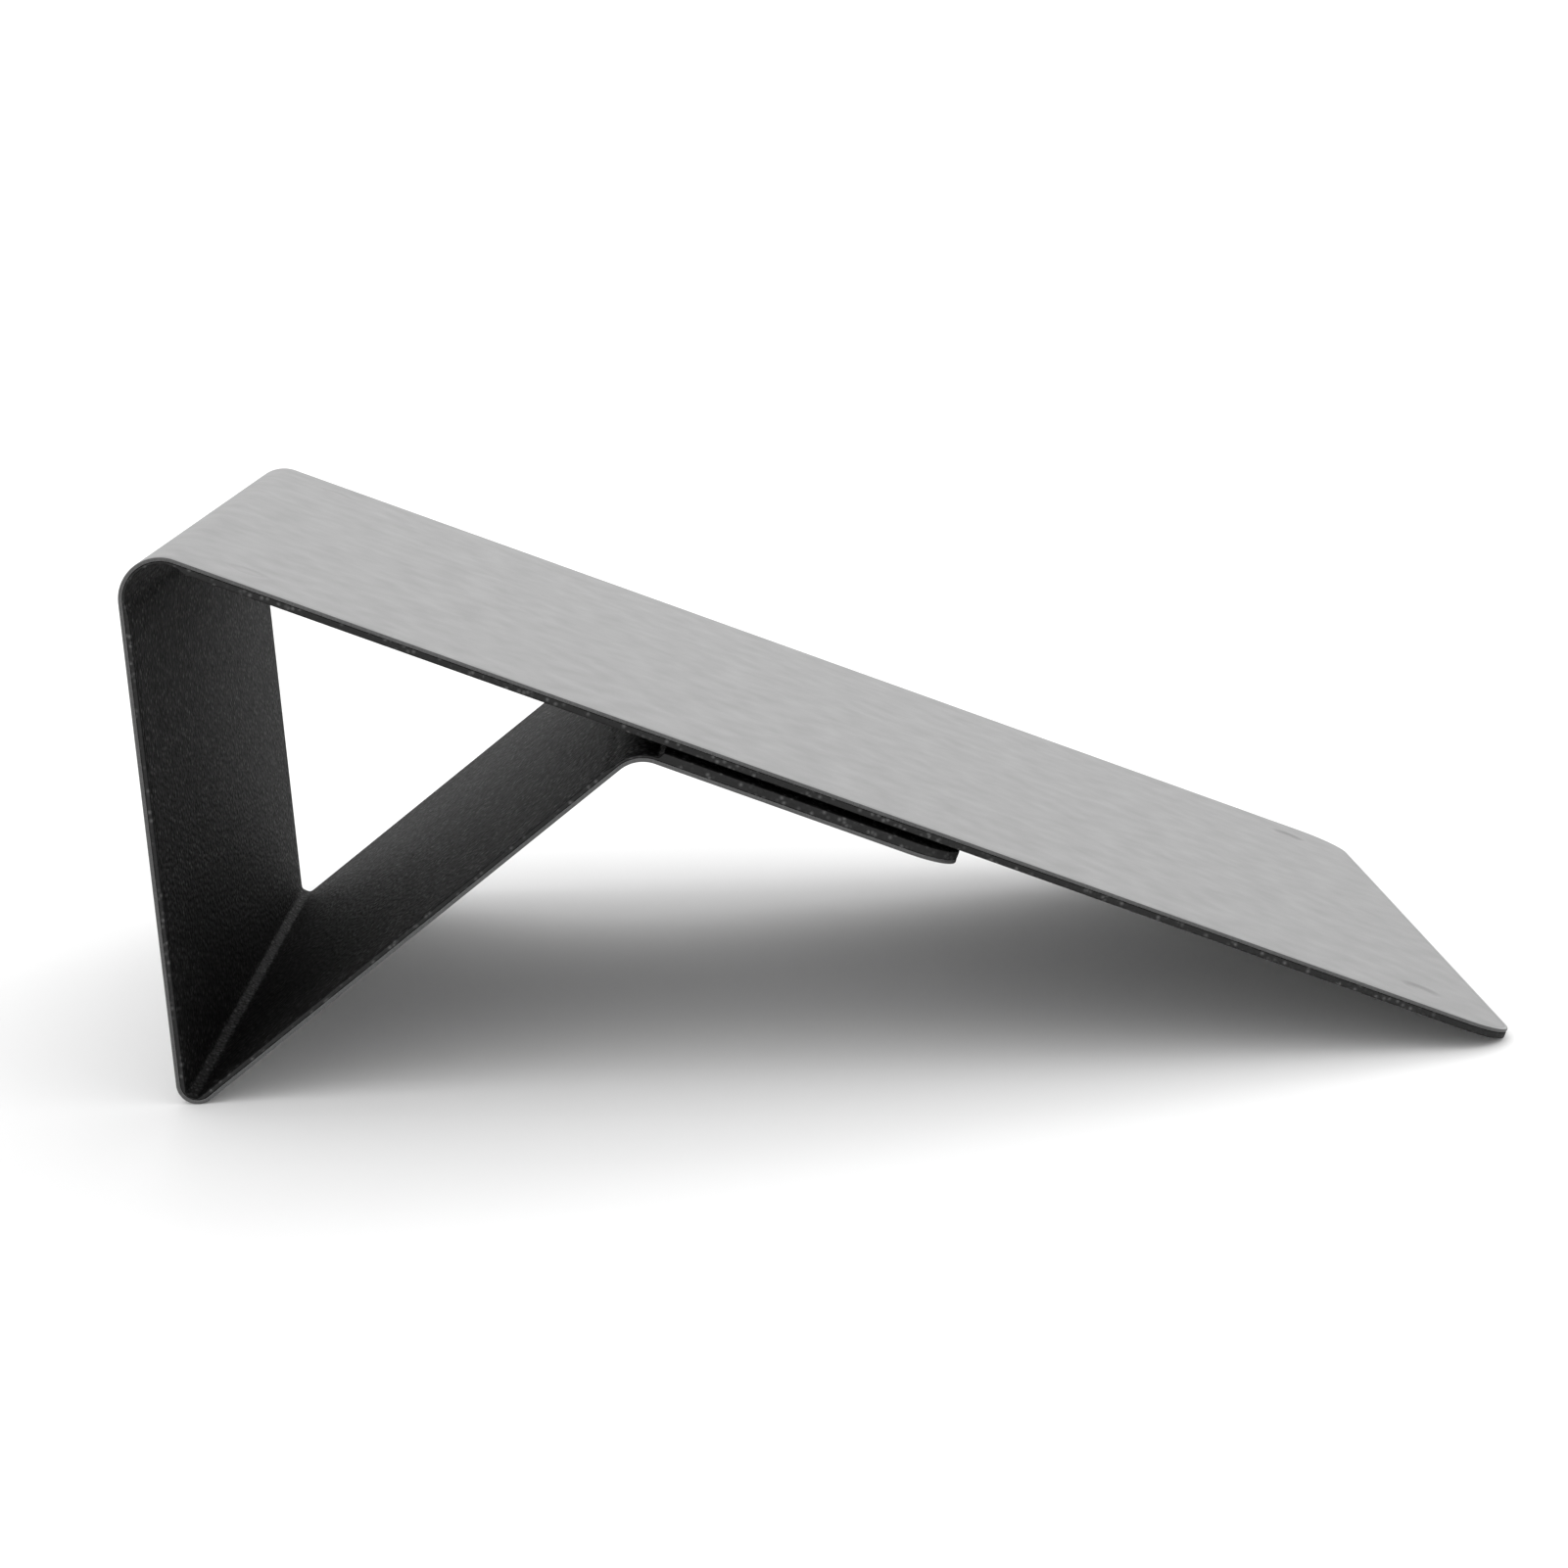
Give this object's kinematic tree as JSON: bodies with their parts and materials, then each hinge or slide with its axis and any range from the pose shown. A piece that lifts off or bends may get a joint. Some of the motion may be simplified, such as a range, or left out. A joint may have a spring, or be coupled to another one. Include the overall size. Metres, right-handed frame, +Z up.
{
  "type": "laptop stand",
  "caption": "Fold-flat laptop stand: a wide laminated leatherette strip folded at soft hinges into a sloping top panel held up by a triangle of leg, strut and tucked flap.",
  "frame": {"origin": "the middle of the footprint on the desk, under the open stand", "axes": "+X to the front edge that rests on the desk, +Y to the left for someone facing along +X, +Z up from the desk"},
  "size_m": [0.2124, 0.16, 0.0853],
  "materials": {
    "outer_skin": "matt, very fine grain, light grey",
    "lining": "matt, fine pebble grain, charcoal",
    "board": "glass-fibre laminate, satin",
    "magnet": "nickel-plated, bright",
    "keeper": "thin rolled steel, satin"
  },
  "bodies": {
    "top_panel": {"top_skin": "outer_skin", "top_board": "board", "top_lining": "lining", "front_magnet_left": "magnet", "front_magnet_right": "magnet", "rear_magnet_left": "magnet", "rear_magnet_right": "magnet", "keeper_plate_left": "keeper", "keeper_plate_right": "keeper", "bend_skin": "outer_skin", "bend_lining": "lining"},
    "leg": {"leg_skin": "outer_skin", "leg_board": "board", "leg_lining": "lining", "leg_magnet_left": "magnet", "leg_magnet_right": "magnet"},
    "crease": {"crease_skin": "outer_skin", "crease_lining": "lining"},
    "strut": {"strut_skin": "outer_skin", "strut_board": "board", "strut_lining": "lining"},
    "junction": {"junction_skin": "outer_skin", "junction_lining": "lining"},
    "flap": {"flap_skin": "outer_skin", "flap_board": "board", "flap_lining": "lining", "flap_magnet_left": "magnet", "flap_magnet_right": "magnet"}
  },
  "joints": [
    {"name": "rear_fold", "type": "hinge", "parent": "top_panel", "child": "leg", "pos_m": [-0.10443, 0, 0.08544], "axis": [0, -1, 0], "range_deg": [0, 65], "deforming": ["bend_skin", "bend_lining"]},
    {"name": "crease_fold_at_leg", "type": "hinge", "parent": "leg", "child": "crease", "pos_m": [-0.10167, 0, 0.00169], "axis": [0, -1, 0], "range_deg": [-62.01, 0], "deforming": ["crease_skin", "crease_lining"]},
    {"name": "crease_fold_at_strut", "type": "hinge", "parent": "crease", "child": "strut", "pos_m": [-0.09898, 0, 0.00043], "axis": [0, -1, 0], "range_deg": [-62.01, 0]},
    {"name": "junction_fold_at_strut", "type": "hinge", "parent": "strut", "child": "junction", "pos_m": [-0.03058, 0, 0.05101], "axis": [0, -1, 0], "range_deg": [0, 29.51], "deforming": ["junction_skin", "junction_lining"]},
    {"name": "junction_fold_at_flap", "type": "hinge", "parent": "junction", "child": "flap", "pos_m": [-0.02749, 0, 0.0514], "axis": [0, -1, 0], "range_deg": [0, 29.51]}
  ],
  "couplings": [
    {"joint": "crease_fold_at_leg", "follows": "rear_fold", "ratio": -0.95385},
    {"joint": "crease_fold_at_strut", "follows": "rear_fold", "ratio": -0.95385},
    {"joint": "junction_fold_at_strut", "follows": "rear_fold", "ratio": 0.45385},
    {"joint": "junction_fold_at_flap", "follows": "rear_fold", "ratio": 0.45385}
  ]
}
